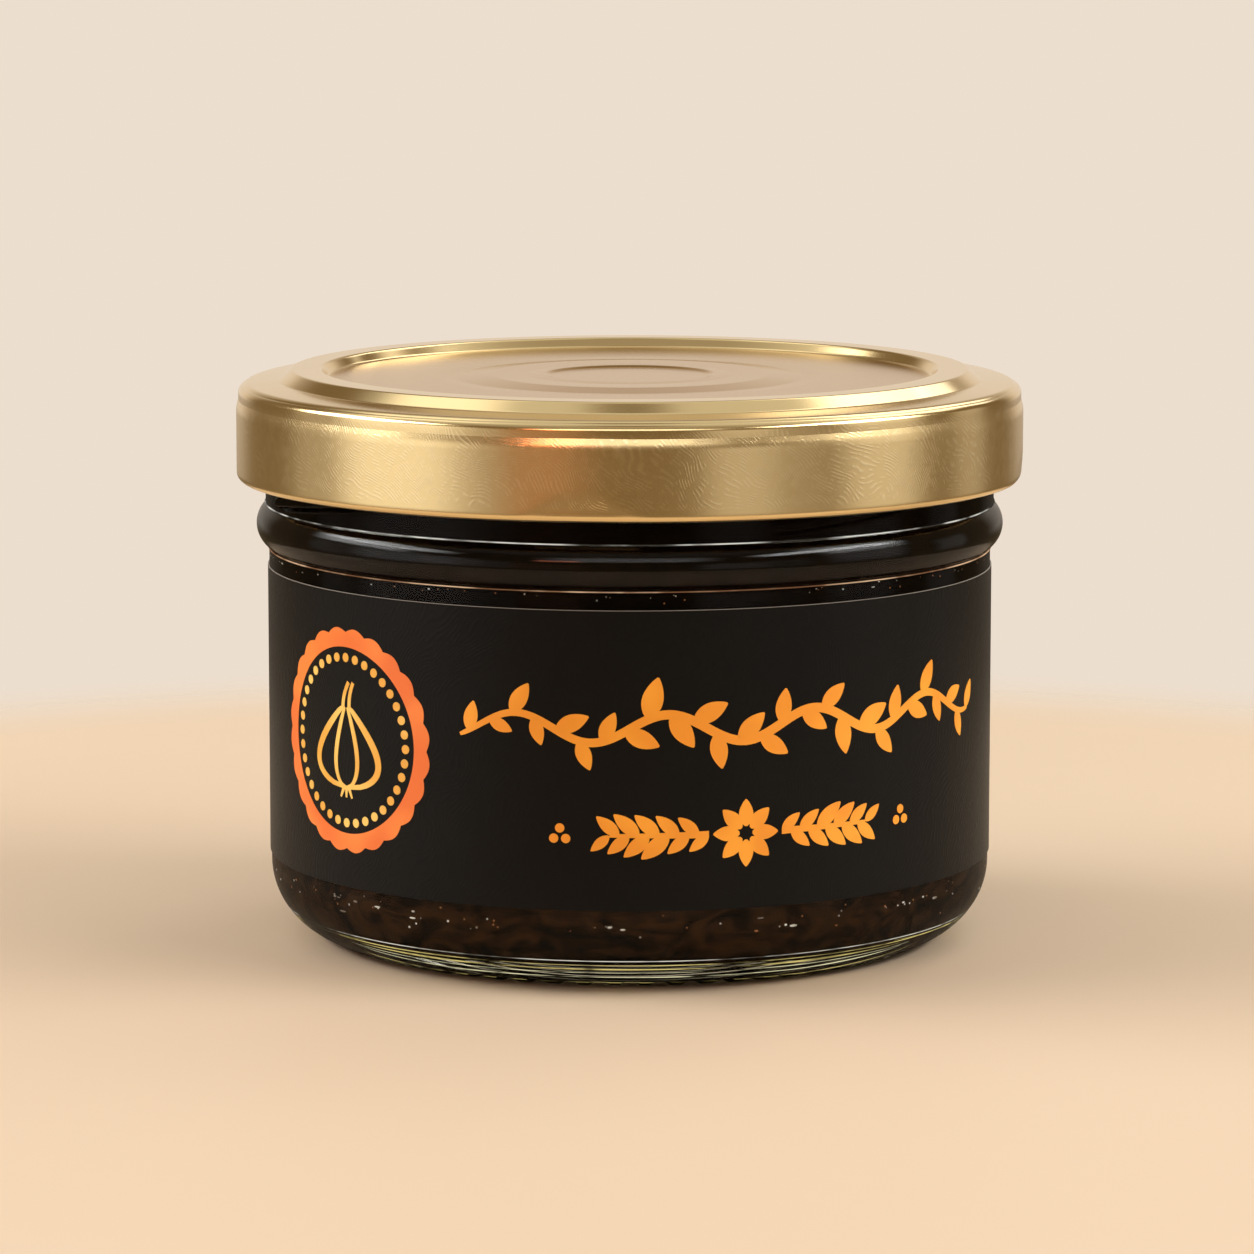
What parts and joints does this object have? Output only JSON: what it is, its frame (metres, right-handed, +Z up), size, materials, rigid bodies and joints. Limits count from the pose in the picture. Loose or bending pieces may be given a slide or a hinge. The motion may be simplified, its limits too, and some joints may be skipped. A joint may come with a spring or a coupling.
{
  "type": "jar of black garlic jam",
  "caption": "Low clear glass preserve jar of dark garlic jam with a gold lug lid and a black wrap label printed with plain orange ornaments.",
  "frame": {"origin": "on the jar's axis, in the plane that the jar stands on", "axes": "+Z up along the jar's axis; the front of the label faces -Y; +X to the right seen from the front"},
  "size_m": [0.0728, 0.0728, 0.0527],
  "materials": {
    "clear_glass": "clear, smooth, faint green tint",
    "gold_lacquer": "satin gold lacquer on tinned sheet steel",
    "label_paper": "matt black, fine grain, orange and yellow print",
    "jam": null
  },
  "bodies": {
    "root": {"glass_jar": "clear_glass", "lid": "gold_lacquer", "label": "label_paper", "jam": "jam"}
  },
  "joints": []
}
